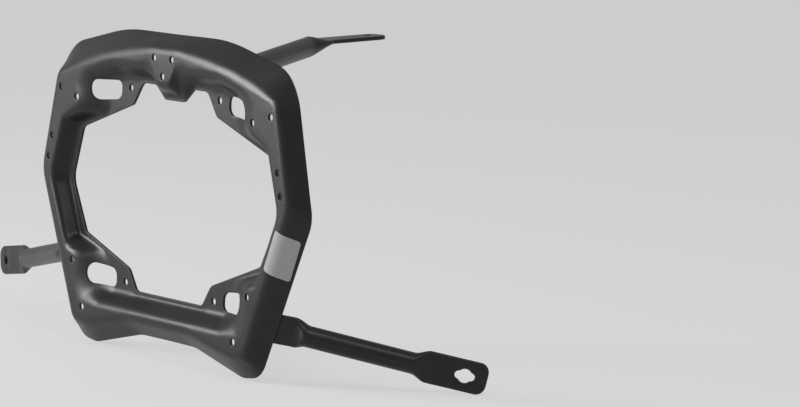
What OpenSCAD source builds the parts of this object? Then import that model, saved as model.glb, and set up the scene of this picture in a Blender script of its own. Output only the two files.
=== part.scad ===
// Pannier frame: one pressed steel ring with three tube stays, for one side
// of a motorcycle.  Millimetres, +Z up, +X to the right as seen from
// outside, +Y towards the motorcycle.  The origin is the middle of the four
// outer lug holes, on the outer face of the pressing.

/* [Lug holes] */
// Distance between the two holes of a row of outer lugs
lug_span = 300; // [200:1:400]
// Distance between the upper and the lower row
lug_rise = 160; // [100:1:240]
// Distance between the two holes of a row of inner lugs
inner_span = 151; // [100:1:200]
// Distance between the rows of inner lug holes
inner_rise = 188; // [120:1:260]
// Diameter of every hole in the pressing
hole_d = 7; // [5:0.5:10]

/* [Pressing] */
// Sheet thickness
sheet = 2.5; // [1.5:0.1:4]
// Depth of the inner strip behind the outer face
recess = 15; // [8:0.5:25]
// Depth of the free edge of the flared flange
flare = 16; // [6:0.5:25]
// Length of the rounding at the flange bend
bend_round = 6; // [2:0.5:9]
// Length of the rounding where the wall leaves the outer face
wall_round = 3.5; // [2:0.5:8]
// Length of the rounding at the foot of the wall
foot_round = 2.5; // [1:0.5:6]
// Growth of both roundings of the wall where it runs out into a long slope
fade = 0.8; // [0:0.1:1]

/* [Stays] */
// Outside diameter of the tubes
tube_d = 20; // [14:0.5:25]
// Wall of the tubes
tube_wall = 1.5; // [1:0.1:3]
// Width of a flattened end
flat_w = 30; // [20:0.5:36]
// Thickness of a flattened end
flat_t = 4; // [3:0.5:6]
// Bore in the end of the top and front stays
bolt_d = 9; // [6:0.5:12]
// Round part of the slotted hole in the rear stay
rear_d = 13.5; // [9:0.5:16]
// Length of the slot across it
rear_slot = 19; // [14:0.5:24]

/* [Label] */
// Length of the blank label along the ring
label_l = 42; // [20:1:60]
// Width of the label, as seen from outside
label_w = 24; // [15:1:30]

/* [Hidden] */
// Corners [x, z, rounding radius] of the right half of each outline, from
// the top middle to the bottom middle.  All four can be seen from the middle
// of the ring, so that one ray crosses each of them once.
rim = [[0, 151, 0], [86, 151, 90], [177.5, 131, 26], [199, 107, 22],
    [227, -3, 34], [157, -156, 26], [126, -158, 30], [48, -140.5, 60],
    [0, -140.5, 0]];
bend = [[0, 137, 0], [24, 137, 60], [110, 124, 200], [187, 102, 14],
    [211, 6, 34], [148, -137, 12], [124, -138.5, 24], [54, -126, 60],
    [0, -126, 0]];
wall = [[0, 102, 0], [11, 102, 5], [21, 117, 8], [88, 117, 50],
    [140, 103, 22], [140, 72, 16], [174, 57, 12], [193, 0, 26],
    [161, -67, 12], [142, -73, 14], [142, -110, 24], [104, -117, 20],
    [0, -117, 0]];
foot = [[0, 92, 0], [20, 92, 9], [34, 105.5, 10], [84, 105.5, 40],
    [113, 97, 16], [113, 67, 12], [167, 53, 8], [184.5, 0, 24],
    [161, -57.5, 8], [113, -70, 12], [113, -97, 16], [98, -106, 20],
    [0, -106, 0]];
mouth = [[0, 87.5, 0], [16, 87.5, 7], [32, 100.5, 8], [55, 100.5, 10],
    [71, 79, 9], [159, 50.5, 7], [175, -2, 22], [149, -53, 6],
    [70, -80, 13], [56, -100.5, 8], [0, -100.5, 0]];
// Number of rays round the ring
rays = 118;

// Holes in the strip beside the flange that aren't lug holes, [x, z]
strip_holes = [[179, 87.5], [192.7, 38.3], [198, 17.4], [130, -124], [14.9, 127.4]];
// Corners of the upper right window, [x, z, rounding radius]
window = [[91.5, 82, 6], [91.5, 100, 6], [131.5, 98.5, 12], [131.5, 78, 9]];

function dot(a, b) = a * b;
function unit(v) = v / norm(v);
// A half outline and its mirror image, as one closed list
function whole(h) = concat(h, [for (i = [len(h) - 2 : -1 : 1])
    [-h[i][0], h[i][1], h[i][2]]]);
function xz(c) = [c[0], c[1]];
// One corner with its rounding: an arc of n steps between its tangent points
function corner(before, c, after, n = 5) =
    let (p = xz(c), u = unit(xz(before) - p), v = unit(xz(after) - p),
        turn = 180 - acos(max(-1, min(1, dot(u, v)))),
        reach = min(c[2] * tan(turn / 2), 0.48 * norm(xz(before) - p),
            0.48 * norm(xz(after) - p)),
        r = turn < 1 ? 0 : reach / tan(turn / 2))
    r < 0.01 ? [p]
    : let (mid = p + unit(u + v) * r / cos(turn / 2),
        a = atan2((p + u * reach - mid)[1], (p + u * reach - mid)[0]),
        b = atan2((p + v * reach - mid)[1], (p + v * reach - mid)[0]),
        sweep = b - a > 180 ? b - a - 360 : b - a < -180 ? b - a + 360 : b - a)
    [for (k = [0 : n]) mid + r * [cos(a + sweep * k / n), sin(a + sweep * k / n)]];
function rounded(c, n = 5) = let (m = len(c))
    [for (i = [0 : m - 1]) each corner(c[(i + m - 1) % m], c[i], c[(i + 1) % m], n)];
// Distance from the origin at which the ray with direction d leaves outline c
function reach_of(c, d) = let (m = len(c))
    max([for (i = [0 : m - 1])
        let (p = c[i], q = c[(i + 1) % m], a = cross(d, p), b = cross(d, q))
        if (a * b <= 0 && a != b && dot(d, p) > 0)
            dot(d, p + (q - p) * a / (a - b))]);
// Rounded corner of a section: a quadratic curve that reaches `len` each way
function soften(a, b, c, len, n) =
    let (p = b + (a - b) * min(0.48, len / norm(a - b)),
        q = b + (c - b) * min(0.48, len / norm(c - b)))
    [for (k = [0 : n]) let (t = k / n)
        (1 - t) * (1 - t) * p + 2 * t * (1 - t) * b + t * t * q];

outlines = [for (o = [rim, bend, wall, foot, mouth]) rounded(whole(o))];

// Outer face of the section along one ray, from the free edge to the mouth,
// as [distance, depth]
function section(d) =
    let (s = [for (o = outlines) reach_of(o, d)],
        f = [s[0], flare], b = [s[1], 0], w = [s[2], 0],
        v = [s[3], recess], e = [s[4], recess],
        long = fade * max(0, norm(w - v) - 1.2 * recess))
    concat([f], soften(f, b, w, bend_round, 4),
        soften(b, w, v, wall_round + long, 3),
        soften(w, v, e, foot_round + long, 3), [e]);
function direction(i) = [sin(360 * i / rays), cos(360 * i / rays)];
outer = [for (i = [0 : rays - 1]) let (d = direction(i))
    [for (p = section(d)) [d[0] * p[0], p[1], d[1] * p[0]]]];
steps = len(outer[0]);
// The inner face lies one sheet behind the outer face, along its normal
function normal_at(i, j) =
    let (along = outer[(i + 1) % rays][j] - outer[(i + rays - 1) % rays][j],
        over = outer[i][min(j + 1, steps - 1)] - outer[i][max(j - 1, 0)])
    unit(cross(along, over));
inner = [for (i = [0 : rays - 1])
    [for (j = [steps - 1 : -1 : 0]) outer[i][j] + sheet * normal_at(i, j)]];

// A stay is a list of stops [point, width direction, flatness], where 0 is
// the round tube and 1 the flattened end.  Between two unequal stops the
// section changes smoothly.
function smooth(t) = t * t * (3 - 2 * t);
function between(p, q, n) = [for (k = [0 : n - 1]) let (t = k / n)
    [p[0] + (q[0] - p[0]) * t, p[1] + (q[1] - p[1]) * t,
        p[2] + (q[2] - p[2]) * smooth(t)]];
function stops(path) = let (m = len(path)) concat(
    [for (i = [0 : m - 2]) each between(path[i], path[i + 1],
        path[i][2] == path[i + 1][2] ? 1 : 6)], [path[m - 1]]);
// Half width and half thickness at a flatness
function half_w(f) = (tube_d + (flat_w - tube_d) * f) / 2;
function half_t(f) = (tube_d + (flat_t - tube_d) * f) / 2;
// The rounded tip: the last stop is drawn back into an arc of radius r
function tip(path, r = 9) = let (m = len(path), e = path[m - 1],
        d = unit(path[m - 2][0] - e[0]))
    concat([for (s = stops(path)) if (norm(s[0] - e[0]) > r) concat(s, [1])],
        [for (k = [0 : 4]) let (a = 90 * k / 4, w = half_w(e[2]))
            [e[0] + d * r * (1 - sin(a)), e[1], e[2],
                (w - r + r * cos(a)) / w]]);
// A ring of the skin: two half circles joined by flats
function ring(c, u, v, a, b, n) = [for (k = [0 : n - 1])
    let (t = 360 * (k + 0.5) / n, side = cos(t) > 0 ? 1 : -1)
    c + u * ((a - b) * side + b * cos(t)) + v * b * sin(t)];
function skin(s, inset = 0, n = 16) = [for (i = [0 : len(s) - 1])
    let (ahead = s[min(i + 1, len(s) - 1)][0] - s[max(i - 1, 0)][0],
        v = unit(cross(unit(ahead), s[i][1])),
        u = unit(s[i][1]),
        b = half_t(s[i][2]) - inset,
        a = max(b, half_w(s[i][2]) * s[i][3] - inset))
    ring(s[i][0], u, v, a, b, n)];

// The flange beside the straight run of the bend that starts at bend[i], with
// its free edge starting at rim[j]: its slope at p, and the depth at p of a
// plane `lift` mm behind its outer face
function outwards(line, i) = let (e = unit(xz(line[i + 1]) - xz(line[i])))
    [-e[1], e[0]];
function past_bend(i, p) = dot(p - xz(bend[i]), outwards(bend, i));
function slope_at(i, j, p) =
    let (out = outwards(bend, i), rim_out = outwards(rim, j),
        foot = p - out * past_bend(i, p))
    atan2(flare, dot(xz(rim[j]) - foot, rim_out) / dot(out, rim_out));
function behind(i, j, p, lift) = let (s = slope_at(i, j, p))
    (lift + past_bend(i, p) * sin(s)) / cos(s);
// Middle of a flattened tube that lies on the flange of a long side, at height
// z and `up` mm past the bend
function root(side, z, up) =
    let (t = (z - bend[4][1]) / (bend[5][1] - bend[4][1]),
        x = bend[4][0] + (bend[5][0] - bend[4][0]) * t + up)
    [side * x, behind(4, 4, [x, z], sheet + flat_t / 2 + 0.05), z];
// Width direction of a flat that lies on the flange from stop a to stop b
function lie(a, b, c) = let (w = unit(cross(cross(b - a, c - a), b - a)))
    w[2] * a[0] < 0 ? w : -w;

// Stops of the four tubes
front_root = root(-1, -74, 3.3);
front_edge = root(-1, -76.5, 22.3);
front_lie = lie(front_root, front_edge, root(-1, -74, 13));
front_path = [[front_root, front_lie, 1], [front_edge, front_lie, 1],
    [[-214, 34, -80.5], [-0.05, -0.05, 1], 0], [[-369, 84.5, -108], [0, 0, 1], 0],
    [[-386, 89.7, -111.5], [-0.12, 0, 1], 1],
    [[-443, 97.3, -119.5], [-0.12, 0, 1], 1]];
front_bolt = [-427.8, 95.3, -117.4];
rear_root = root(1, -104.4, 3.4);
rear_edge = root(1, -107.4, 24);
rear_lie = lie(rear_root, rear_edge, root(1, -104.4, 13));
rear_path = [[rear_root, rear_lie, 1], [rear_edge, rear_lie, 1],
    [[196, 38.5, -111.5], [-0.13, -0.17, -1], 0],
    [[253.5, 114.7, -132.8], [-0.13, -0.17, -1], 0],
    [[262.5, 126.7, -136], [-0.13, -0.17, -1], 1],
    [[295.7, 170.5, -147.2], [-0.13, -0.17, -1], 1]];
rear_bolt = [283, 153.8, -142.9];
// The root of the top stay keeps its lower side above the wall
top_path = [[[115.8, 0, 112.9 + tube_d / 2], [1, 0, 0], 0], [[-2, 171, 138], [1, 0, 0], 0],
    [[-16.5, 199.5, 141.8], [1, 0.2, 0], 1], [[-13, 264.5, 146.3], [1, 0, 0], 1]];
top_bolt = [-13.7, 250.5, 145.3];
// The open end of the brace touches the flange
brace_end = -142;
brace_out = behind(2, 1, [146, 126.5], sheet + tube_d / 2 - 0.6);
brace_path = [[[-146, brace_out, 126.5], [0, 1, 0], 0],
    [[-77, brace_out + 1, 136], [0, 1, 0], 0],
    [[-50, brace_out + 1.5, 140.5], [0, 1, 0.25], 0.8],
    [[-30, brace_out + 0.5, 140.5], [0, 1, 0.25], 0.8],
    [[36, brace_out - 5, 135.3], [0, 1, 0.25], 0.8]];
// The top flange at the root of the top stay: a point on its bend, the turn
// of the bend line, the slope, and the tangent planes of the rounding there
// as [angle, distance from the bend]
saddle_at = [111, 0, 123.7];
saddle_turn = 12;
saddle_slope = slope_at(2, 1, [saddle_at[0], saddle_at[2]]);
saddle_planes = [for (t = [0 : 0.25 : 1])
    let (a = atan2(t * sin(saddle_slope), 1 - t + t * cos(saddle_slope)))
    [a, bend_round * ((1 - t) * (1 - t) * sin(a)
        + t * t * sin(saddle_slope - a))]];
bead_r = 2.2;

module loft(rings) {
    n = len(rings[0]);
    m = len(rings);
    points = [for (r = rings) each r];
    sides = [for (i = [0 : m - 2], k = [0 : n - 1])
        let (a = i * n + k, b = i * n + (k + 1) % n)
        each [[a, b + n, b], [a, a + n, b + n]]];
    faces = concat(sides, [[for (k = [0 : n - 1]) k],
        [for (k = [n - 1 : -1 : 0]) (m - 1) * n + k]]);
    polyhedron(points, faces, convexity = 6);
}

// A tube along a path, hollow as far as it isn't pressed flat
module stay(path) {
    s = tip(path);
    difference() {
        loft(skin(s));
        loft(skin([for (i = s) if (i[2] < 0.85) i], tube_wall, 12));
    }
}

module pressed_sheet() {
    loop = 2 * steps;
    points = [for (i = [0 : rays - 1]) each concat(outer[i], inner[i])];
    faces = [for (i = [0 : rays - 1], j = [0 : loop - 1])
        let (a = i * loop + j, b = i * loop + (j + 1) % loop,
            n = ((i + 1) % rays) * loop,
            c = n + (j + 1) % loop, e = n + j)
        each [[a, c, b], [a, e, c]]];
    polyhedron(points, faces, convexity = 10);
}

module hole_at(x, z, d = hole_d) {
    translate([x, 40, z])
    rotate([90, 0, 0])
    cylinder(h = 80, d = d, $fn = 24);
}

module window_cut(up) {
    translate([0, 40, 0])
    rotate([90, 0, 0])
    linear_extrude(80)
    polygon(rounded([for (c = window) [c[0], up * c[1], c[2]]]));
}

module steel() {
    color("#26272a")
    children();
}

// A round bore with axis d through point p
function turn_to(d) = [0, acos(d[2] / norm(d)), atan2(d[1], d[0])];
module bore_at(p, d, bore) {
    translate(p)
    rotate(turn_to(d))
    translate([0, 0, -10])
    cylinder(h = 20, d = bore, $fn = 40);
}
// Direction across the flattened end of a path
function across(path) = let (m = len(path))
    unit(cross(path[m - 1][0] - path[m - 2][0], path[m - 1][1]));

// Everything in front of the top flange's inner face and the strip's
module before_saddle(gap) {
    translate(saddle_at)
    rotate([0, saddle_turn, 0])
    for (s = saddle_planes) {
        rotate([-s[0], 0, 0])
        translate([-40, sheet + gap + s[1] - 60, -40])
        cube([80, 60, 80]);
    }
}

// The tube is coped: its end is cut to the valley that the bend makes
module top_stay() {
    steel()
    difference() {
        stay(top_path);
        bore_at(top_bolt, across(top_path), bolt_d);
        before_saddle(0.25);
    }
}

module front_stay() {
    steel()
    difference() {
        stay(front_path);
        bore_at(front_bolt, across(front_path), bolt_d);
    }
}

module rear_stay() {
    along = unit(rear_path[5][0] - rear_path[4][0]);
    steel()
    difference() {
        stay(rear_path);
        bore_at(rear_bolt, across(rear_path), rear_d);
        for (side = [-1, 1]) {
            bore_at(rear_bolt + side * along * (rear_slot - 8) / 2,
                across(rear_path), 8);
        }
    }
}

// A tube whose other end is open
module brace() {
    s = [for (s = stops(brace_path)) concat(s, [1])];
    steel()
    difference() {
        loft(skin(s));
        loft(skin([for (i = s) if (i[2] < 0.7) i], tube_wall, 12));
        translate([brace_end - 40, -20, 90])
        cube([40, 80, 80]);
    }
}

// A bead follows its run with a ripple for every 4 mm
module bead(run, r = bead_r) {
    s = [for (i = [0 : len(run) - 2]) let (n = ceil(norm(run[i + 1] - run[i]) / 2))
        each [for (k = [0 : n - 1]) run[i] + (run[i + 1] - run[i]) * k / n]];
    m = len(s);
    loft([for (i = [0 : m - 1])
        let (d = unit(s[min(i + 1, m - 1)] - s[max(i - 1, 0)]),
            u = unit(cross(d, [0.3, 1, 0.2])), v = cross(d, u),
            end = min(1, 0.5 + 0.25 * min(i, m - 1 - i)),
            q = r * end * (i % 2 == 0 ? 1 : 0.82))
        [for (k = [0 : 5]) s[i] + q * (u * cos(60 * k) + v * sin(60 * k))]]);
}
// Run of the bead round a flattened root: `a` across and `b` along it
root_run = [[1.02, 10], [1.02, 0.2], [0.98, -1.5], [0.86, -2.1], [-0.86, -2.1],
    [-0.98, -1.5], [-1.02, 0.2], [-1.02, 10]];
function round_root(path) = let (d = unit(path[1][0] - path[0][0]),
        w = unit(path[0][1]), n = cross(d, w) * (cross(d, w)[1] < 0 ? -1 : 1))
    [for (q = root_run) path[0][0] + d * q[1] + n * 0.12
        + w * q[0] * (flat_w / 2 + bead_r - 0.35)];

module front_weld() {
    steel()
    bead(round_root(front_path));
}

module rear_weld() {
    steel()
    bead(round_root(rear_path));
}

// Round the coped end: on a circle about the tube, slid along it until the
// bead lies on the strip, the flange or the wall, whichever comes first
module top_weld() {
    c = top_path[0][0];
    d = unit(top_path[1][0] - c);
    u = unit(cross([0, 0, 1], d));
    v = cross(d, u);
    lift = sheet + bead_r - 0.1;
    steel()
    bead([for (t = [-150 : 20 : 190])
        let (p = c + (tube_d / 2 + 1.6) * (u * cos(t) + v * sin(t)),
            q = p + d * max([for (s = saddle_planes)
                let (n = [-sin(s[0]) * sin(saddle_turn), cos(s[0]),
                    -sin(s[0]) * cos(saddle_turn)])
                (lift + s[1] - n * (p - saddle_at)) / (n * d)]),
            deep = q[2] < saddle_at[2] ? depth_at(q[0], q[2]) : 0)
        q + d * max(0, deep + lift * (1 + 0.12 * min(deep, 3)) - q[1]) / d[1]], 2);
}

module brace_weld() {
    a = brace_path[0][0];
    b = brace_path[1][0];
    c = a + (b - a) * (brace_end - a[0]) / (b[0] - a[0]) - [1.1, 0, 0];
    slope = slope_at(2, 1, [-brace_end, a[2]]);
    steel()
    bead([for (t = [-18, 0, 18])
        c + (tube_d / 2 - bead_r + 0.35)
            * [0, -cos(slope + t), sin(slope + t)]]);
}

// Depth of the outer face at [x, z], read off the section along that ray
function depth_at(x, z) =
    let (r = norm([x, z]), s = section([x, z] / r))
    max([for (i = [0 : len(s) - 2])
        if ((s[i][0] - r) * (s[i + 1][0] - r) <= 0 && s[i][0] != s[i + 1][0])
            s[i][1] + (s[i + 1][1] - s[i][1]) * (r - s[i][0]) / (s[i + 1][0] - s[i][0])]);

// A blank label, bent over the edge of the flange on the rear side
module label() {
    mid = [195.5, -37];
    along = unit([-70, -157]);
    out = [-along[1], along[0]];
    us = [for (k = [0 : 4]) label_l * (k / 4 - 0.5)];
    vs = [for (k = [0 : 10]) label_w * (k / 10 - 0.5)];
    grid = [for (u = us) [for (v = vs) mid + along * u + out * v]];
    face = [for (gap = [0.15, 0.4]) [for (row = grid) [for (p = row)
        [p[0], depth_at(p[0], p[1]) - gap, p[1]]]]];
    color("#b9bdbb")
    loft([for (i = [0 : len(us) - 1]) concat(face[0][i],
        [for (k = [len(vs) - 1 : -1 : 0]) face[1][i][k]])]);
}

module ring_pressing() {
    steel()
    difference() {
        pressed_sheet();
        for (side = [-1, 1]) {
            for (up = [-1, 1]) {
                hole_at(side * lug_span / 2, up * lug_rise / 2);
                hole_at(side * inner_span / 2, up * inner_rise / 2);
                scale([side, 1, 1])
                window_cut(up);
            }
            for (h = strip_holes) {
                hole_at(side * h[0], h[1]);
            }
        }
        hole_at(0, 110.7);
    }
}

ring_pressing();
top_stay();
front_stay();
rear_stay();
brace();
top_weld();
front_weld();
rear_weld();
brace_weld();
label();
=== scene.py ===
"""Pannier frame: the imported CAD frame, dressed with finer surfaces and materials.

The object's lengths are in millimetres until add_object makes metres of them. The camera,
the lamps and the bumps are in metres. Outlines lie in the x-z plane, and depth runs along
y, from the outside of the frame towards the motorcycle.
"""
import math

import bpy
import bmesh
import numpy as np
from mathutils import Matrix, Quaternion, Vector
from mathutils.geometry import delaunay_2d_cdt


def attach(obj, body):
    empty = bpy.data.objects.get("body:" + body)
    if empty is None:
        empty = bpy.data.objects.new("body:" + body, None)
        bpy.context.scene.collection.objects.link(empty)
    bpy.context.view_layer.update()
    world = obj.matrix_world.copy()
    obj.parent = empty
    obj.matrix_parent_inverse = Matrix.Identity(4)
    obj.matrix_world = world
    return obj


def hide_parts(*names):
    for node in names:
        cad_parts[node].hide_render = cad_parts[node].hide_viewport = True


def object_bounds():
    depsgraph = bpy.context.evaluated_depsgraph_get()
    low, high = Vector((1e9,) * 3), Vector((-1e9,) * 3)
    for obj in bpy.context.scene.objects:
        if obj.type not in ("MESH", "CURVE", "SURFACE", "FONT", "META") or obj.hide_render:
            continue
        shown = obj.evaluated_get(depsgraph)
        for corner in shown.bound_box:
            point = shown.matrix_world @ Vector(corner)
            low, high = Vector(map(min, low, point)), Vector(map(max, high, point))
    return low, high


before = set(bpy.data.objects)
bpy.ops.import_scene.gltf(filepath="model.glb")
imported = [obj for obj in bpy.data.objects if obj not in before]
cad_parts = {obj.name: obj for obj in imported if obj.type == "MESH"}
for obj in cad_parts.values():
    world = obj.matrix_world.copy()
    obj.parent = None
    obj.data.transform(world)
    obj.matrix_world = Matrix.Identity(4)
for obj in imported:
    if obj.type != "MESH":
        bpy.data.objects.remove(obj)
cad_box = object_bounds()

MM = 0.001

# Camera and light

# The camera was fitted to the photograph.
CAMERA_AT = (2.862224, -1.892132, 0.353261)
CAMERA_TURN = (0.6591464, 0.6055264, 0.2861846, 0.3419975)
LENS, SENSOR = 164.044, 36.0
CLIP_START, CLIP_END = 0.05, 100.0

# Each lamp is a square that faces this point in the ring.
LAMPS_AIM = (-0.03, 0.05, 0.0)
KEY_AT, KEY_SIZE, KEY_POWER = (-1.74, -1.79, 0.64), 1.05, 53
TOP_AT, TOP_SIZE, TOP_POWER = (1.29, -0.55, 1.92), 0.9, 11

PALE = (0.90, 0.905, 0.91, 1)
WORLD_LIGHT, WORLD_SEEN = 0.22, 0.5


def place_camera():
    camera = bpy.data.objects.new("camera", bpy.data.cameras.new("camera"))
    bpy.context.scene.collection.objects.link(camera)
    camera.location = CAMERA_AT
    camera.rotation_mode = "QUATERNION"
    camera.rotation_quaternion = Quaternion(CAMERA_TURN)
    camera.data.lens = LENS
    camera.data.sensor_width = SENSOR
    camera.data.clip_start = CLIP_START
    camera.data.clip_end = CLIP_END
    bpy.context.scene.camera = camera


def area_light(name, at, size, power):
    light = bpy.data.lights.new(name, "AREA")
    light.shape = "SQUARE"
    light.size = size
    light.energy = power
    lamp = bpy.data.objects.new(name, light)
    bpy.context.scene.collection.objects.link(lamp)
    lamp.location = at
    lamp.rotation_mode = "QUATERNION"
    lamp.rotation_quaternion = (Vector(LAMPS_AIM) - Vector(at)).to_track_quat("-Z", "Y")


def seen(nodes, links):
    """1 for rays that show the background: camera, glossy and transmission."""
    path = nodes.new("ShaderNodeLightPath")
    out = path.outputs["Is Camera Ray"]
    for kind in ("Is Glossy Ray", "Is Transmission Ray"):
        most = nodes.new("ShaderNodeMath")
        most.operation = "MAXIMUM"
        links.new(out, most.inputs[0])
        links.new(path.outputs[kind], most.inputs[1])
        out = most.outputs[0]
    return out


def studio_world():
    """A pale world that lights the object less than it shows."""
    world = bpy.data.worlds.new("studio")
    bpy.context.scene.world = world
    world.use_nodes = True
    nodes, links = world.node_tree.nodes, world.node_tree.links
    back = nodes["Background"]
    back.inputs["Color"].default_value = PALE
    strength = nodes.new("ShaderNodeMapRange")
    strength.inputs["To Min"].default_value = WORLD_LIGHT
    strength.inputs["To Max"].default_value = WORLD_SEEN
    links.new(seen(nodes, links), strength.inputs["Value"])
    links.new(strength.outputs["Result"], back.inputs["Strength"])


place_camera()
area_light("key_box", KEY_AT, KEY_SIZE, KEY_POWER)
area_light("top_box", TOP_AT, TOP_SIZE, TOP_POWER)
studio_world()
bpy.context.scene.view_settings.view_transform = "Standard"

# Outlines of the pressing

# They are made as in the CAD. Some values were fitted a little closer to the photograph.
SHEET, RECESS, FLARE = 2.5, 15.0, 16.4
BEND_ROUND, WALL_ROUND, FOOT_ROUND = 6.5, 5.0, 4.5
BEND_STEPS, WALL_STEPS, FOOT_STEPS = 8, 7, 6
# The roundings of a wall grow by this share of its length beyond that of a steep wall.
FADE, STEEP = 0.8, 1.2 * RECESS
# A rounding takes less than half of each side that it joins.
SIDE_SHARE = 0.48
CORNER_STEPS, WINDOW_STEPS = 16, 10

# Right halves from the top to the bottom, as [x, z, corner radius].
RIM = [[0, 151, 0], [86, 151.3, 260], [178.8, 131.6, 50], [200, 108, 50],
       [227.6, -3, 34], [155.7, -155.5, 37], [126, -159.4, 34], [46, -141.6, 60],
       [0, -141.4, 0]]
BEND = [[0, 137, 0], [24, 137, 60], [110, 124, 200], [187, 102, 14], [211, 6, 34],
        [148, -137, 12], [124, -138.5, 24], [54, -126, 60], [0, -126, 0]]
WALL = [[0, 102, 0], [11, 102, 9], [23, 118, 14], [88, 117, 50], [140, 103, 22],
        [140, 72, 16], [174, 57, 12], [193, 0, 26], [161, -67, 12], [142, -73, 14],
        [142, -110, 24], [104, -117, 20], [0, -117, 0]]
FOOT = [[0, 92, 0], [19, 92, 11], [35, 105.5, 14], [84, 105.5, 40], [113, 97, 16],
        [113, 67, 12], [167, 53, 8], [184.5, 0, 24], [161, -57.5, 8], [113, -70, 12],
        [113, -97, 16], [98, -106, 20], [0, -106, 0]]
MOUTH = [[0, 87.5, 0], [16, 87.5, 7], [32, 100.5, 8], [55, 100.5, 10], [71, 78.3, 9],
         [159, 49.7, 8], [176, -2, 22], [149, -53, 6], [70, -80, 13],
         [56, -100.5, 8], [0, -100.5, 0]]
# The upper right window. The lower ones mirror the upper ones and are then moved.
WINDOW = [[91.5, 82, 8.5], [91.5, 100, 6], [131.5, 98.5, 12], [131.5, 78, 9]]
LOWER_WINDOW_BY = -1.2
WINDOW_STEP = 1.1
# Each of these holes has a twin on the left.
TWIN_HOLES = [(150, 80), (150, -80), (75.5, 94), (75.5, -94), (179, 87.5),
              (192.7, 38.3), (198, 17.4), (130, -124), (14.9, 127.4)]
TONGUE_HOLE = (0, 110.7)
HOLE_D, HOLE_SIDES = 7.0, 40


def unit(v):
    v = np.asarray(v, float)
    return v / np.linalg.norm(v)


def whole(half):
    """A right half and its mirror image as one closed outline."""
    return half + [[-x, z, r] for x, z, r in half[-2:0:-1]]


def corner(before, at, after, n):
    """Points of a corner that is rounded in n steps."""
    p = np.array(at[:2], float)
    u, v = unit(np.array(before[:2]) - p), unit(np.array(after[:2]) - p)
    turn = 180 - math.degrees(math.acos(max(-1, min(1, u @ v))))
    half = math.tan(math.radians(turn / 2))
    reach = min(at[2] * half, SIDE_SHARE * math.dist(before[:2], p),
                SIDE_SHARE * math.dist(after[:2], p))
    r = 0 if turn < 1 else reach / half
    if r < 0.01:
        return [p]
    mid = p + unit(u + v) * r / math.cos(math.radians(turn / 2))
    a = math.atan2(*(p + u * reach - mid)[::-1])
    b = math.atan2(*(p + v * reach - mid)[::-1])
    sweep = (b - a + math.pi) % (2 * math.pi) - math.pi
    return [mid + r * np.array([math.cos(a + sweep * k / n), math.sin(a + sweep * k / n)])
            for k in range(n + 1)]


def rounded(corners, n=CORNER_STEPS):
    """Points of a closed outline, with every corner rounded in n steps."""
    after = corners[1:] + corners[:1]
    return np.array([p for i, at in enumerate(corners)
                     for p in corner(corners[i - 1], at, after[i], n)])


def reach_of(outline, d):
    """Distance from the origin at which each ray leaves an outline."""
    p, q = outline, np.roll(outline, -1, axis=0)
    a = d[:, :1] * p[:, 1] - d[:, 1:] * p[:, 0]
    b = d[:, :1] * q[:, 1] - d[:, 1:] * q[:, 0]
    with np.errstate(divide="ignore", invalid="ignore"):
        t = a / (a - b)
        hit = (d @ p.T) * (1 - t) + (d @ q.T) * t
    hit[(a * b > 0) | (a == b) | (d @ p.T <= 0)] = -1
    return hit.max(1)


OUTLINES = [rounded(whole(o)) for o in (RIM, BEND, WALL, FOOT, MOUTH)]
DEPTHS = (FLARE, 0, 0, RECESS, RECESS)


def soften(a, b, c, length, n):
    """Quadratic corners at the points b, between the points a and c."""
    ab = np.linalg.norm(a - b, axis=1, keepdims=True)
    cb = np.linalg.norm(c - b, axis=1, keepdims=True)
    p = b + (a - b) * np.minimum(SIDE_SHARE, length / ab)
    q = b + (c - b) * np.minimum(SIDE_SHARE, length / cb)
    return [(1 - t) ** 2 * p + 2 * t * (1 - t) * b + t * t * q
            for t in np.linspace(0, 1, n + 1)]


def sections(d):
    """Outer face along each ray, as [ray, point, (distance, depth)]."""
    rim, bend, wall, foot, mouth = [
        np.stack([reach_of(o, d), np.full(len(d), float(y))], 1)
        for o, y in zip(OUTLINES, DEPTHS)]
    length = np.linalg.norm(wall - foot, axis=1, keepdims=True)
    more = FADE * np.maximum(0, length - STEEP)
    return np.stack([rim, *soften(rim, bend, wall, BEND_ROUND, BEND_STEPS),
                     *soften(bend, wall, foot, WALL_ROUND + more, WALL_STEPS),
                     *soften(wall, foot, mouth, FOOT_ROUND + more, FOOT_STEPS), mouth], 1)


def depth_at(xz):
    """Depth of the outer face under each point [x, z]."""
    r = np.linalg.norm(xz, axis=1)
    s = sections(xz / r[:, None])
    out = np.where(r >= s[:, 0, 0], FLARE, RECESS).astype(float)
    for k in range(s.shape[1] - 1):
        a, b = s[:, k], s[:, k + 1]
        between = (r <= a[:, 0]) & (r >= b[:, 0])
        t = (r - a[:, 0]) / np.where(b[:, 0] == a[:, 0], 1, b[:, 0] - a[:, 0])
        out[between] = (a[:, 1] + (b[:, 1] - a[:, 1]) * t)[between]
    return out


def inward_normal(xz, h=0.3):
    """Unit normal of the outer face that points to its inner face."""
    gx = (depth_at(xz + [h, 0]) - depth_at(xz - [h, 0])) / (2 * h)
    gz = (depth_at(xz + [0, h]) - depth_at(xz - [0, h])) / (2 * h)
    n = np.stack([-gx, np.ones(len(xz)), -gz], 1)
    return n / np.linalg.norm(n, axis=1, keepdims=True)


# Meshes


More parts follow.
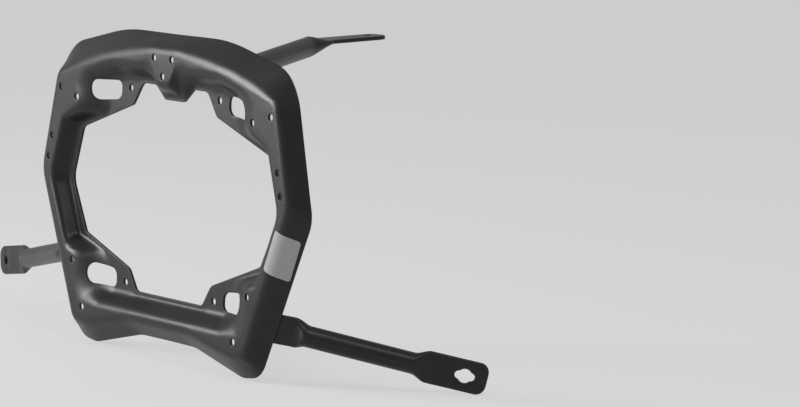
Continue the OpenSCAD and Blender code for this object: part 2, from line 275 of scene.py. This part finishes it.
def add_object(name, verts, faces, smooth_angle=None):
    """A smooth object from millimetres. Edges beyond smooth_angle degrees stay sharp."""
    mesh = bpy.data.meshes.new(name)
    mesh.from_pydata([tuple(v) for v in np.asarray(verts) * MM], [], faces)
    bm = bmesh.new()
    bm.from_mesh(mesh)
    bmesh.ops.recalc_face_normals(bm, faces=bm.faces)
    bm.to_mesh(mesh)
    bm.free()
    mesh.shade_smooth()
    if smooth_angle:
        mesh.set_sharp_from_angle(angle=math.radians(smooth_angle))
    piece = bpy.data.objects.new(name, mesh)
    bpy.context.scene.collection.objects.link(piece)
    return piece


def circle(r, n):
    """Points of a circle round the origin."""
    t = 2 * math.pi * np.arange(n) / n
    return r * np.stack([np.cos(t), np.sin(t)], 1)


def resample(loop, step):
    """A closed loop cut into equal lengths of about one step."""
    p = np.vstack([loop, loop[:1]])
    s = np.concatenate([[0], np.cumsum(np.linalg.norm(np.diff(p, axis=0), axis=1))])
    t = np.linspace(0, s[-1], round(s[-1] / step) + 1)[:-1]
    return np.stack([np.interp(t, s, p[:, 0]), np.interp(t, s, p[:, 1])], 1)


def offset(loop, by):
    """A closed loop moved outwards."""
    ahead = np.roll(loop, -1, axis=0) - np.roll(loop, 1, axis=0)
    n = np.stack([ahead[:, 1], -ahead[:, 0]], 1)
    n /= np.linalg.norm(n, axis=1, keepdims=True)
    after = np.roll(loop, -1, axis=0)
    area = 0.5 * np.sum(loop[:, 0] * after[:, 1] - after[:, 0] * loop[:, 1])
    return loop + n * by * np.sign(area)


def inside(loop, pts):
    """Which points lie in a closed loop."""
    hit = np.zeros(len(pts), bool)
    x, z = pts[:, 0], pts[:, 1]
    for (ax, az), (bx, bz) in zip(loop, np.roll(loop, -1, axis=0)):
        if az != bz:
            hit ^= ((az > z) != (bz > z)) & (x < (bx - ax) * (z - az) / (bz - az) + ax)
    return hit


# The pressing

RING_RAYS, RING_RAYS_QUICK = 900, 420
# The cut edges stay back from the outlines of the rim and the mouth by this much.
RIM_BACK, MOUTH_BACK = 0.3, 0.05
# Size of the rounding of the cut edges, and how far its first row drops.
EDGE, EDGE_DROP = 0.45, 0.14
# Rows at this spacing hold the shading beside the cut edges.
HOLD = 0.6
# Flat stretches of a section, by the point that each starts from, with the shares of it
# at which it gets rows of points: the flange, the strip and the inner strip.
FLAT_ROWS = ((0, (0.35, 0.7)), (BEND_STEPS + 1, (0.33, 0.67)), (-2, (0.33, 0.67)))


def ring_cuts():
    """Loops of the holes and the windows."""
    holes = [(side * x, z) for x, z in TWIN_HOLES for side in (-1, 1)] + [TONGUE_HOLE]
    loops = [np.array(at) + circle(HOLE_D / 2, HOLE_SIDES) for at in holes]
    for side in (-1, 1):
        for up in (-1, 1):
            by = LOWER_WINDOW_BY if up < 0 else 0
            window = [[side * x, up * z + by, r] for x, z, r in WINDOW]
            loops.append(resample(rounded(window, WINDOW_STEPS), WINDOW_STEP))
    return loops


def ring_plan(cuts):
    """Boundary loops of the pressing, and its points [x, z] and triangles seen from
    the front. The points of the loops come first."""
    rays = RING_RAYS
    turn = 2 * math.pi * np.arange(rays) / rays
    d = np.stack([np.sin(turn), np.cos(turn)], 1)
    r = sections(d)[:, :, 0]
    rim, mouth = r[:, 0] - RIM_BACK, r[:, -1] + MOUTH_BACK
    rows = [rim - EDGE, rim - EDGE - HOLD, *r[:, 1:-1].T, mouth + EDGE + HOLD, mouth + EDGE]
    for k, shares in FLAT_ROWS:
        rows += [r[:, k] * (1 - t) + r[:, k + 1] * t for t in shares]

    loops = [d * rim[:, None], d * mouth[:, None], *cuts]
    grid = np.concatenate([d * row[:, None] for row in rows])
    for loop in cuts:
        grid = grid[~inside(offset(loop, EDGE + 2 * HOLD), grid)]
    held = [offset(loop, by) for loop in cuts for by in (EDGE, EDGE + HOLD)]
    pts = np.concatenate([*loops, *held, grid])
    edges = [pair for ends in loop_edges(loops) for pair in ends]
    verts, _, tris, *_ = delaunay_2d_cdt([Vector(p) for p in pts], edges, [], 0, 1e-6, False)
    xz = np.array([tuple(v) for v in verts])
    assert len(xz) == len(pts), "the triangulation merged points"

    tris = np.array([t for t in tris if len(t) == 3])
    mid = xz[tris].mean(1)
    keep = inside(loops[0], mid)
    for loop in loops[1:]:
        keep &= ~inside(loop, mid)
    return loops, xz, tris[keep]


def loop_edges(loops):
    """For each loop the pairs of neighbouring points, numbered through all loops."""
    start = 0
    for loop in loops:
        n = len(loop)
        yield [(start + k, start + (k + 1) % n) for k in range(n)]
        start += n


def ring_mesh():
    """The pressing: a height field over its outline, thickened along the normal, with
    every cut edge rounded."""
    loops, xz, tris = ring_plan(ring_cuts())
    n = inward_normal(xz)
    outer = np.stack([xz[:, 0], depth_at(xz), xz[:, 1]], 1)
    total, bound = len(xz), sum(len(loop) for loop in loops)
    top, low = np.zeros(total), np.full(total, SHEET)
    top[:bound], low[:bound] = EDGE_DROP, SHEET - EDGE_DROP
    verts = [outer + n * top[:, None], outer + n * low[:, None]]
    verts += [outer[:bound] + n[:bound] * depth for depth in (EDGE, SHEET - EDGE)]

    faces = [tuple(t) for t in tris] + [tuple(total + t[::-1]) for t in tris]
    steps = (0, 2 * total, 2 * total + bound, total)
    for pairs in loop_edges(loops):
        for i, j in pairs:
            for a, b in zip(steps, steps[1:]):
                faces.append((a + i, a + j, b + j, b + i))
    return np.concatenate(verts), faces


# Tubes and their paths

TUBE_D, TUBE_WALL, FLAT_W, FLAT_T = 20.0, 1.5, 30.0, 4.0
BOLT_D, REAR_D, REAR_SLOT, REAR_SLOT_W = 9.0, 13.5, 19.0, 8.0
CIRCLE_SIDES = 48
SEAT_GAP = 0.05
TIP_R, TIP_STEPS, TIP_TRIM, TIP_CLEAR = 9.0, 12, 0.25, 0.5
STAY_STEPS, STAY_STEPS_QUICK, BRACE_STEPS = 20, 8, 16
STOP_LENGTH = 12
CUTTER_REACH, CUT_ROUND = 12, 0.4
SHARP_ANGLE, SMOOTH_ANGLE = 40, 50
# Flanges, by the points of BEND and of RIM that their side starts from.
TOP_FLANGE, LOWER_FLANGE = (2, 1), (4, 4)


def outwards(line, i):
    """Normal of the side that starts at point i of an outline."""
    e = unit(np.array(line[i + 1][:2], float) - line[i][:2])
    return np.array([-e[1], e[0]])


def past_bend(i, p):
    """How far p lies outside the side that starts at BEND[i]."""
    return (np.array(p, float) - BEND[i][:2]) @ outwards(BEND, i)


def slope_at(i, j, p):
    """Slope of the flange between the sides that start at BEND[i] and RIM[j]."""
    out, rim_out = outwards(BEND, i), outwards(RIM, j)
    foot = np.array(p, float) - out * past_bend(i, p)
    return math.atan2(FLARE, (np.array(RIM[j][:2], float) - foot) @ rim_out / (out @ rim_out))


def behind(i, j, p, lift):
    """Depth at p of a plane that lies lift behind the flange's outer face."""
    s = slope_at(i, j, p)
    return (lift + past_bend(i, p) * math.sin(s)) / math.cos(s)


def root(side, z, up):
    """Middle of a flat that is seated on the lower side flange, up outside the bend."""
    high, low = BEND[LOWER_FLANGE[0]], BEND[LOWER_FLANGE[0] + 1]
    t = (z - high[1]) / (low[1] - high[1])
    x = high[0] + (low[0] - high[0]) * t + up
    y = behind(*LOWER_FLANGE, [x, z], SHEET + FLAT_T / 2 + SEAT_GAP)
    return np.array([side * x, y, z])


def lie(a, b, c):
    """Width direction of a flat that lies on the flange from a to b. c is on it too."""
    w = unit(np.cross(np.cross(b - a, c - a), b - a))
    return w if w[2] * a[0] < 0 else -w


# A path has stops of (middle, width direction, how far the tube is pressed flat).
FRONT_ROOT, FRONT_EDGE = root(-1, -74, 3.3), root(-1, -76.5, 22.3)
FRONT_LIE = lie(FRONT_ROOT, FRONT_EDGE, root(-1, -74, 13))
FRONT_PATH = [(FRONT_ROOT, FRONT_LIE, 1), (FRONT_EDGE, FRONT_LIE, 1),
              ((-214, 34, -80.5), (-0.05, -0.05, 1), 0),
              ((-369, 84.5, -108), (0, 0, 1), 0),
              ((-386, 89.7, -111.5), (-0.12, 0, 1), 1),
              ((-443, 97.3, -119.5), (-0.12, 0, 1), 1)]
FRONT_BOLT = (-427.8, 95.3, -117.4)

REAR_ROOT, REAR_EDGE = root(1, -105.2, 3.4), root(1, -108.8, 24)
REAR_LIE = lie(REAR_ROOT, REAR_EDGE, root(1, -104.4, 13))
REAR_TURN = (-0.13, -0.17, -1)
REAR_PATH = [(REAR_ROOT, REAR_LIE, 1), (REAR_EDGE, REAR_LIE, 1),
             ((196, 38.5, -112.1), REAR_TURN, 0),
             ((253.5, 114.7, -132.8), REAR_TURN, 0),
             ((262.5, 126.7, -136), REAR_TURN, 1),
             ((295.1, 169.7, -146.8), REAR_TURN, 1)]
REAR_BOLT = (282.5, 153.1, -142.9)

TOP_PATH = [((115.8, 0, 112.9 + TUBE_D / 2), (1, 0, 0), 0),
            ((1, 167, 137.6), (1, 0, 0), 0),
            ((-15.8, 197, 142), (1, 0.2, 0), 1),
            ((-13, 264.3, 146.5), (1, 0, 0), 1)]
TOP_BOLT = (-13.7, 250.5, 145.3)

# The brace is seated on the top flange at BRACE_SEAT. It is trimmed there by 4 of the 69
# mm to its second stop, and is hollow where it is pressed less flat than BRACE_HOLLOW.
BRACE_FLAT, BRACE_HOLLOW, BRACE_TURN = 0.8, 0.7, (0, 1, 0.25)
BRACE_SEAT, BRACE_SINK, BRACE_TRIM = (146, 126.5), 0.6, 4 / 69
BRACE_OUT = behind(*TOP_FLANGE, BRACE_SEAT, SHEET + TUBE_D / 2 - BRACE_SINK)
BRACE_START = (-142, BRACE_OUT + BRACE_TRIM, BRACE_SEAT[1] + 9.5 * BRACE_TRIM)
BRACE_PATH = [(BRACE_START, (0, 1, 0), 0),
              ((-77, BRACE_OUT + 1, 136), (0, 1, 0), 0),
              ((-50, BRACE_OUT + 1.5, 140.5), BRACE_TURN, BRACE_FLAT),
              ((-30, BRACE_OUT + 0.5, 140.5), BRACE_TURN, BRACE_FLAT),
              ((36, BRACE_OUT - 5, 135.3), BRACE_TURN, BRACE_FLAT)]

# The top stay meets the bend here. The bend runs at this turn.
SADDLE_AT, SADDLE_TURN = np.array([111, 0, 123.7]), math.radians(12)
SADDLE_SLOPE = slope_at(*TOP_FLANGE, SADDLE_AT[[0, 2]])
SADDLE_GAP, SADDLE_CUTS = 0.25, 4
SADDLE_HALF, SADDLE_DEEP = 40, 60


def smooth(t):
    """A share that starts and ends gently."""
    return t * t * (3 - 2 * t)


def stops(path, n):
    """Close stops along a path, as [middle, width direction, flatness, width share]."""
    out = []
    for (p, u, f), (q, v, g) in zip(path, path[1:]):
        m = n if f != g else max(1, round(math.dist(p, q) / STOP_LENGTH))
        for k in range(m):
            t = k / m
            out.append([np.array(p) + (np.array(q) - p) * t,
                        np.array(u) + (np.array(v) - u) * t, f + (g - f) * smooth(t), 1.0])
    p, u, f = path[-1]
    return out + [[np.array(p, float), np.array(u, float), f, 1.0]]


def half_w(f):
    """Half the width of a tube that is pressed flat by f, from 0 to 1."""
    return (TUBE_D + (FLAT_W - TUBE_D) * f) / 2


def half_t(f):
    """Half the thickness of a tube that is pressed flat by f, from 0 to 1."""
    return (TUBE_D + (FLAT_T - TUBE_D) * f) / 2


def tipped(close):
    """Close stops of which the last ones narrow to a rounded tip."""
    end, turn, flat, _ = close[-1]
    d = unit(close[-2][0] - end)
    out = [stop for stop in close if np.linalg.norm(stop[0] - end) > TIP_R + TIP_CLEAR]
    w = half_w(flat)
    for k in range(TIP_STEPS + 1):
        a = math.pi / 2 * k / TIP_STEPS
        out.append([end + d * (TIP_R * (1 - math.sin(a)) + TIP_TRIM), turn, flat,
                    (w - TIP_R + TIP_R * math.cos(a)) / w])
    return out


def skin(close, inset=0.0, n=CIRCLE_SIDES):
    """Rings of points round a tube at its close stops: two half circles and the flats."""
    rings = []
    for i, (p, u, f, share) in enumerate(close):
        ahead = close[min(i + 1, len(close) - 1)][0] - close[max(i - 1, 0)][0]
        v = unit(np.cross(unit(ahead), u))
        u = unit(u)
        b = half_t(f) - inset
        a = max(b, half_w(f) * share - inset)
        t = 2 * math.pi * (np.arange(n) + 0.5) / n
        side = np.where(np.cos(t) > 0, 1, -1)
        rings.append(p + np.outer((a - b) * side + b * np.cos(t), u)
                     + np.outer(b * np.sin(t), v))
    return rings


def loft(rings, hollow=None):
    """Verts and faces of a closed skin. hollow is a second list of rings, open at its
    first ring, that lines the inside."""
    n = len(rings[0])
    verts = np.concatenate(rings)
    faces = []

    def sides(start, count):
        for i in range(count - 1):
            for k in range(n):
                a, b = start + i * n + k, start + i * n + (k + 1) % n
                faces.append((a, b, b + n, a + n))
        faces.append(tuple(range(start + (count - 1) * n, start + count * n)))

    sides(0, len(rings))
    if hollow is None:
        faces.append(tuple(range(n)))
    else:
        start = len(verts)
        verts = np.concatenate([verts, *hollow])
        sides(start, len(hollow))
        faces += [(k, (k + 1) % n, start + (k + 1) % n, start + k) for k in range(n)]
    return verts, faces


def across(path):
    """Direction through the flat at the end of a path."""
    return unit(np.cross(np.array(path[-1][0], float) - path[-2][0], path[-1][1]))


def prism(at, axis, along, outline):
    """A straight cutter with the given outline in the plane across its axis."""
    axis = unit(axis)
    u = unit(np.array(along, float) - axis * (np.array(along, float) @ axis))
    v = np.cross(axis, u)
    n = len(outline)
    verts = [np.array(at) + axis * h + u * a + v * b
             for h in (-CUTTER_REACH, CUTTER_REACH) for a, b in outline]
    faces = [tuple(range(n)), tuple(range(n, 2 * n))]
    faces += [(k, (k + 1) % n, n + (k + 1) % n, n + k) for k in range(n)]
    return add_object("cutter", verts, faces)


def slotted(r, length, width, end_steps=12, side_steps=16):
    """Outline of a round hole with a slot across it."""
    out = []
    h = width / 2
    reach = math.asin(h / r)
    for base, side in ((0, 1), (math.pi, -1)):
        for k in range(end_steps + 1):
            t = -math.pi / 2 + math.pi * k / end_steps
            x, y = length / 2 - h + h * math.cos(t), h * math.sin(t)
            out.append((side * x, side * y))
        for k in range(side_steps + 1):
            t = base + reach + (math.pi - 2 * reach) * k / side_steps
            out.append((r * math.cos(t), r * math.sin(t)))
    return out


def saddle_planes(n=8):
    """Tangent planes of the bend's rounding at the root of the top stay, as
    (slope, distance from the bend)."""
    s, out = SADDLE_SLOPE, []
    for t in np.linspace(0, 1, n + 1):
        a = math.atan2(t * math.sin(s), 1 - t + t * math.cos(s))
        out.append((a, BEND_ROUND * ((1 - t) ** 2 * math.sin(a) + t * t * math.sin(s - a))))
    return out


def saddle_cutters():
    """Boxes whose far faces lie along the inner faces of the strip, bend and flange."""
    out = []
    for slope, away in saddle_planes(SADDLE_CUTS):
        m = Matrix.Rotation(SADDLE_TURN, 3, "Y") @ Matrix.Rotation(-slope, 3, "X")
        verts = [SADDLE_AT + np.array(m @ Vector((x, SHEET + SADDLE_GAP + away + y, z)))
                 for x in (-SADDLE_HALF, SADDLE_HALF) for y in (-SADDLE_DEEP, 0)
                 for z in (-SADDLE_HALF, SADDLE_HALF)]
        faces = [(0, 1, 3, 2), (4, 5, 7, 6), (0, 1, 5, 4), (2, 3, 7, 6), (0, 2, 6, 4),
                 (1, 3, 7, 5)]
        out.append(add_object("cutter", verts, faces))
    return out


def cut(piece, tools):
    """Cuts the tools out of a piece for good, and removes them."""
    for tool in tools:
        modifier = piece.modifiers.new("cut", "BOOLEAN")
        modifier.operation = "DIFFERENCE"
        modifier.solver = "EXACT"
        modifier.object = tool
    bpy.context.view_layer.update()
    depsgraph = bpy.context.evaluated_depsgraph_get()
    mesh = bpy.data.meshes.new_from_object(piece.evaluated_get(depsgraph))
    piece.modifiers.clear()
    old = piece.data
    piece.data = mesh
    bpy.data.meshes.remove(old)
    for tool in tools:
        bpy.data.objects.remove(tool)


def soft_edges(piece):
    """Rounds the sharp cut edges for good, and keeps the rest smooth."""
    bm = bmesh.new()
    bm.from_mesh(piece.data)
    bmesh.ops.remove_doubles(bm, verts=bm.verts, dist=1e-6)
    sharp = [e for e in bm.edges if len(e.link_faces) == 2
             and e.calc_face_angle(0) > math.radians(SHARP_ANGLE)]
    bmesh.ops.bevel(bm, geom=sharp, offset=CUT_ROUND * MM, segments=2, profile=0.5,
                    affect="EDGES", clamp_overlap=True)
    bm.to_mesh(piece.data)
    bm.free()
    piece.data.shade_smooth()
    piece.data.set_sharp_from_angle(angle=math.radians(SMOOTH_ANGLE))


def stay(name, path, tools):
    """A stay along a path, with a rounded tip, cut by the tools."""
    close = tipped(stops(path, STAY_STEPS))
    piece = add_object(name, *loft(skin(close)))
    cut(piece, tools)
    soft_edges(piece)
    return piece


# Weld beads

BEAD_R, TOP_BEAD_R = 2.2, 2.0
BEAD_STEP, BEAD_SIDES, BEAD_SMOOTHING = 0.35, 14, 6
RIPPLE_PITCH, RIPPLE = 2.6, 0.17
# A bead starts at this share of its size, and grows by the other one per millimetre.
BEAD_START, BEAD_GROWTH = 0.55, 0.3
# How far a bead reaches past the edge that it would just touch.
BEAD_SINK = 0.35
# Run of the bead round a flat root, as (share of the half width, length along it).
ROOT_RUN = [(1.02, 10), (1.02, 0.2), (0.98, -1.5), (0.86, -2.1), (-0.86, -2.1),
            (-0.98, -1.5), (-1.02, 0.2), (-1.02, 10)]
ROOT_LIFT = 0.12
# Turns of the points round the top stay, their gap from the tube, and how far the bead
# sinks into the sheet. On the wall, which is steeper, the bead keeps further off by
# WALL_SHARE for each millimetre of depth, as far as WALL_DEPTH.
TOP_TURNS, TOP_GAP, TOP_SINK = np.arange(-150, 191, 10), 1.6, 0.1
WALL_SHARE, WALL_DEPTH = 0.12, 3
# Turns of the points in the open end of the brace, and how far they lie before it.
BRACE_TURNS, BRACE_AHEAD = (-18, 0, 18), 1.1


def bead_mesh(run, r):
    """A bead along a run, with the overlapping ripples of a weld."""
    run = [np.array(p, float) for p in run]
    pts = []
    for a, b in zip(run, run[1:]):
        m = max(1, math.ceil(np.linalg.norm(b - a) / BEAD_STEP))
        pts += [a + (b - a) * k / m for k in range(m)]
    pts = np.array(pts + [run[-1]])
    for _ in range(BEAD_SMOOTHING):
        pts[1:-1] = (pts[:-2] + 2 * pts[1:-1] + pts[2:]) / 4
    s = np.concatenate([[0], np.cumsum(np.linalg.norm(np.diff(pts, axis=0), axis=1))])
    rings = []
    for i, p in enumerate(pts):
        d = unit(pts[min(i + 1, len(pts) - 1)] - pts[max(i - 1, 0)])
        u = unit(np.cross(d, [0.3, 1, 0.2]))
        v = np.cross(d, u)
        phase = (s[i] / RIPPLE_PITCH) % 1
        near = min(s[i], s[-1] - s[i])
        q = r * (1 - RIPPLE + RIPPLE * math.sqrt(max(0.0, 1 - phase * phase)))
        q *= min(1, BEAD_START + BEAD_GROWTH * near)
        t = 2 * math.pi * np.arange(BEAD_SIDES) / BEAD_SIDES
        rings.append(p + q * (np.outer(np.cos(t), u) + np.outer(np.sin(t), v)))
    return loft(rings)


def round_root(path):
    """Run along both sides and round the end of the flat at the start of a path."""
    d = unit(np.array(path[1][0], float) - path[0][0])
    w = unit(path[0][1])
    n = np.cross(d, w)
    n = n if n[1] > 0 else -n
    half = FLAT_W / 2 + BEAD_R - BEAD_SINK
    return [np.array(path[0][0]) + d * b + n * ROOT_LIFT + w * a * half for a, b in ROOT_RUN]


def top_run():
    """Run round the top stay, on the strip, the flange or the wall, whichever comes
    first on the way along the stay."""
    c = np.array(TOP_PATH[0][0], float)
    d = unit(np.array(TOP_PATH[1][0], float) - c)
    u = unit(np.cross([0, 0, 1], d))
    v = np.cross(d, u)
    lift = SHEET + BEAD_R - TOP_SINK
    out = []
    for t in np.radians(TOP_TURNS):
        p = c + (TUBE_D / 2 + TOP_GAP) * (u * math.cos(t) + v * math.sin(t))
        reach = []
        for slope, away in saddle_planes():
            n = np.array([-math.sin(slope) * math.sin(SADDLE_TURN), math.cos(slope),
                          -math.sin(slope) * math.cos(SADDLE_TURN)])
            reach.append((lift + away - n @ (p - SADDLE_AT)) / (n @ d))
        q = p + d * max(reach)
        deep = depth_at(np.array([[q[0], q[2]]]))[0] if q[2] < SADDLE_AT[2] else 0
        off = lift * (1 + WALL_SHARE * min(deep, WALL_DEPTH))
        out.append(q + d * max(0, deep + off - q[1]) / d[1])
    return out


def brace_run():
    """Run between the open end of the brace and the flange."""
    c = np.array(BRACE_START) - [BRACE_AHEAD, 0, 0]
    slope = slope_at(*TOP_FLANGE, [-BRACE_START[0], BRACE_SEAT[1]])
    r = TUBE_D / 2 - BEAD_R + BEAD_SINK
    return [c + r * np.array([0, -math.cos(slope + t), math.sin(slope + t)])
            for t in np.radians(BRACE_TURNS)]


# Label

# The film is a little smaller than the CAD's label, so that it stays inside it.
LABEL_SHARE = 0.995
LABEL_L, LABEL_W, LABEL_R = 42.0 * LABEL_SHARE, 24.0 * LABEL_SHARE, 2.6
LABEL_AT, LABEL_ALONG = (195.5, -37.0), (-70, -157)
LABEL_CELLS = 40
# Both faces lie in front of the sheet, at these distances.
LABEL_FRONT, LABEL_BACK = 0.4, 0.15


def label_mesh():
    """A thin film bent over the edge of the flange, with rounded corners."""
    along = unit(LABEL_ALONG)
    out = np.array([-along[1], along[0]])
    n, m = LABEL_CELLS, LABEL_CELLS + 1
    pts = []
    for a in np.linspace(-math.pi / 2, math.pi / 2, m):
        u = math.sin(a) * LABEL_L / 2
        past = max(0.0, abs(u) - (LABEL_L / 2 - LABEL_R))
        half = LABEL_W / 2 - LABEL_R + math.sqrt(max(0.0, LABEL_R ** 2 - past ** 2))
        pts += [np.array(LABEL_AT) + along * u + out * v * half for v in np.linspace(-1, 1, m)]
    pts = np.array(pts)
    y = depth_at(pts)
    front, back = [np.stack([pts[:, 0], y - by, pts[:, 1]], 1)
                   for by in (LABEL_FRONT, LABEL_BACK)]
    faces, total = [], len(pts)
    for i in range(n):
        for j in range(n):
            a = i * m + j
            faces.append((a, a + 1, a + m + 1, a + m))
            faces.append((total + a, total + a + m, total + a + m + 1, total + a + 1))
    index = np.arange(total).reshape(m, m)
    edge = [*index[0], *index[1:, -1], *index[-1, -2::-1], *index[-2:0:-1, 0]]
    faces += [(p, q, total + q, total + p) for p, q in zip(edge, edge[1:] + edge[:1])]
    return np.concatenate([front, back]), faces


# Materials

COAT_DARK, COAT_LIGHT = (0.010, 0.0104, 0.011, 1), (0.015, 0.0155, 0.0163, 1)
COAT_ROUGH, COAT_SPECULAR = (0.31, 0.39), 0.35
# The noises, as (scale, detail, roughness), and the range that the cloud's values fill.
CLOUD, WAVE, PEEL, GRAIN = (14, 4.0, 0.55), (90, 1.0, 0.5), (900, 2.0, 0.5), (700, 3.0, 0.5)
CLOUD_RANGE = (0.3, 0.7)
# Strength and distance of the coat's long waves and of its orange peel.
WAVE_BUMP, PEEL_BUMP = (0.22, 0.0004), (0.25, 0.00012)
FILM_DARK, FILM_LIGHT = (0.42, 0.43, 0.42, 1), (0.50, 0.51, 0.50, 1)
FILM_ROUGH = (0.42, 0.55)
FLOOR_COLOUR, FLOOR_ROUGH, FLOOR_SPECULAR = (0.80, 0.805, 0.81, 1), 0.8, 0.1
# Brightness of the floor's even colour, and its share in what is seen of the floor.
FLOOR_SEEN, FLOOR_SHARE = 0.88, 0.7


def new_material(name):
    m = bpy.data.materials.new(name)
    m.use_nodes = True
    return m, m.node_tree.nodes, m.node_tree.links, m.node_tree.nodes["Principled BSDF"]


def noise(nodes, links, at, values):
    n = nodes.new("ShaderNodeTexNoise")
    for name, value in zip(("Scale", "Detail", "Roughness"), values):
        n.inputs[name].default_value = value
    links.new(at, n.inputs["Vector"])
    return n.outputs["Fac"]


def mapped(nodes, links, value, to, span=(0.0, 1.0)):
    """The value's span, spread over the range to."""
    n = nodes.new("ShaderNodeMapRange")
    for name, limit in zip(("From Min", "From Max", "To Min", "To Max"), (*span, *to)):
        n.inputs[name].default_value = limit
    links.new(value, n.inputs["Value"])
    return n.outputs["Result"]


def mixed(nodes, links, share, dark, light):
    n = nodes.new("ShaderNodeMix")
    n.data_type = "RGBA"
    n.inputs["A"].default_value = dark
    n.inputs["B"].default_value = light
    links.new(share, n.inputs["Factor"])
    return n.outputs["Result"]


def bump(nodes, links, height, size):
    n = nodes.new("ShaderNodeBump")
    n.inputs["Strength"].default_value, n.inputs["Distance"].default_value = size
    links.new(height, n.inputs["Height"])
    return n


def powder_coat():
    """Black powder coat, slightly cloudy, with an orange peel over long waves."""
    m, nodes, links, shader = new_material("powder_coat")
    at = nodes.new("ShaderNodeTexCoord").outputs["Object"]
    cloud = noise(nodes, links, at, CLOUD)
    links.new(mixed(nodes, links, cloud, COAT_DARK, COAT_LIGHT), shader.inputs["Base Color"])
    rough = mapped(nodes, links, cloud, COAT_ROUGH, CLOUD_RANGE)
    links.new(rough, shader.inputs["Roughness"])
    shader.inputs["Specular IOR Level"].default_value = COAT_SPECULAR
    wave = bump(nodes, links, noise(nodes, links, at, WAVE), WAVE_BUMP)
    peel = bump(nodes, links, noise(nodes, links, at, PEEL), PEEL_BUMP)
    links.new(wave.outputs["Normal"], peel.inputs["Normal"])
    links.new(peel.outputs["Normal"], shader.inputs["Normal"])
    return m


def label_film():
    """Grey film with a fine grain."""
    m, nodes, links, shader = new_material("label_film")
    at = nodes.new("ShaderNodeTexCoord").outputs["Object"]
    grain = noise(nodes, links, at, GRAIN)
    links.new(mixed(nodes, links, grain, FILM_DARK, FILM_LIGHT), shader.inputs["Base Color"])
    links.new(mapped(nodes, links, grain, FILM_ROUGH), shader.inputs["Roughness"])
    return m


def floor_paint():
    """Pale paint that keeps the shadow; what is seen of it is mostly its own even
    colour."""
    m, nodes, links, shader = new_material("floor")
    shader.inputs["Base Color"].default_value = FLOOR_COLOUR
    shader.inputs["Roughness"].default_value = FLOOR_ROUGH
    shader.inputs["Specular IOR Level"].default_value = FLOOR_SPECULAR
    even = nodes.new("ShaderNodeEmission")
    even.inputs["Color"].default_value = PALE
    even.inputs["Strength"].default_value = FLOOR_SEEN
    share = nodes.new("ShaderNodeMath")
    share.operation = "MULTIPLY"
    share.inputs[1].default_value = FLOOR_SHARE
    links.new(seen(nodes, links), share.inputs[0])
    mix = nodes.new("ShaderNodeMixShader")
    links.new(share.outputs[0], mix.inputs["Fac"])
    links.new(shader.outputs["BSDF"], mix.inputs[1])
    links.new(even.outputs["Emission"], mix.inputs[2])
    links.new(mix.outputs["Shader"], nodes["Material Output"].inputs["Surface"])
    return m


COAT, FILM, FLOOR = powder_coat(), label_film(), floor_paint()

# Pieces


def paint(piece, material):
    piece.data.materials.clear()
    piece.data.materials.append(material)


def dress(piece, node, material):
    """Puts a piece in a node's place, with its material."""
    paint(piece, material)
    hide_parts(node)
    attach(piece, "root")


for node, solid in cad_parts.items():
    paint(solid, FILM if node == "label" else COAT)

ring = add_object("ring_surface", *ring_mesh())
dress(ring, "ring_pressing", COAT)

bolt_hole = circle(BOLT_D / 2, CIRCLE_SIDES)
rear_hole = slotted(REAR_D / 2, REAR_SLOT, REAR_SLOT_W)
rear_along = np.array(REAR_PATH[-1][0], float) - REAR_PATH[-2][0]

top = stay("top_stay_surface", TOP_PATH,
           [prism(TOP_BOLT, across(TOP_PATH), (0, 1, 0), bolt_hole), *saddle_cutters()])
dress(top, "top_stay", COAT)

front = stay("front_stay_surface", FRONT_PATH,
             [prism(FRONT_BOLT, across(FRONT_PATH), (1, 0, 0), bolt_hole)])
dress(front, "front_stay", COAT)

rear = stay("rear_stay_surface", REAR_PATH,
            [prism(REAR_BOLT, across(REAR_PATH), rear_along, rear_hole)])
dress(rear, "rear_stay", COAT)

brace_stops = stops(BRACE_PATH, BRACE_STEPS)
hollow = skin([stop for stop in brace_stops if stop[2] < BRACE_HOLLOW], TUBE_WALL)
brace = add_object("brace_surface", *loft(skin(brace_stops), hollow), SMOOTH_ANGLE)
dress(brace, "brace", COAT)

for name, run, r in (("front", round_root(FRONT_PATH), BEAD_R),
                     ("rear", round_root(REAR_PATH), BEAD_R),
                     ("top", top_run(), TOP_BEAD_R),
                     ("brace", brace_run(), BEAD_R)):
    bead = add_object(name + "_bead", *bead_mesh(run, r))
    dress(bead, name + "_weld", COAT)

label = add_object("label_surface", *label_mesh(), SMOOTH_ANGLE)
dress(label, "label", FILM)

# Floor

FLOOR_GAP, FLOOR_REACH = 0.5, 14000
floor_z = cad_box[0].z / MM - FLOOR_GAP
floor = add_object("floor", [(x * FLOOR_REACH, y * FLOOR_REACH, floor_z)
                             for x, y in ((-1, -1), (1, -1), (1, 1), (-1, 1))],
                   [(0, 1, 2, 3)])
floor.data.materials.append(FLOOR)
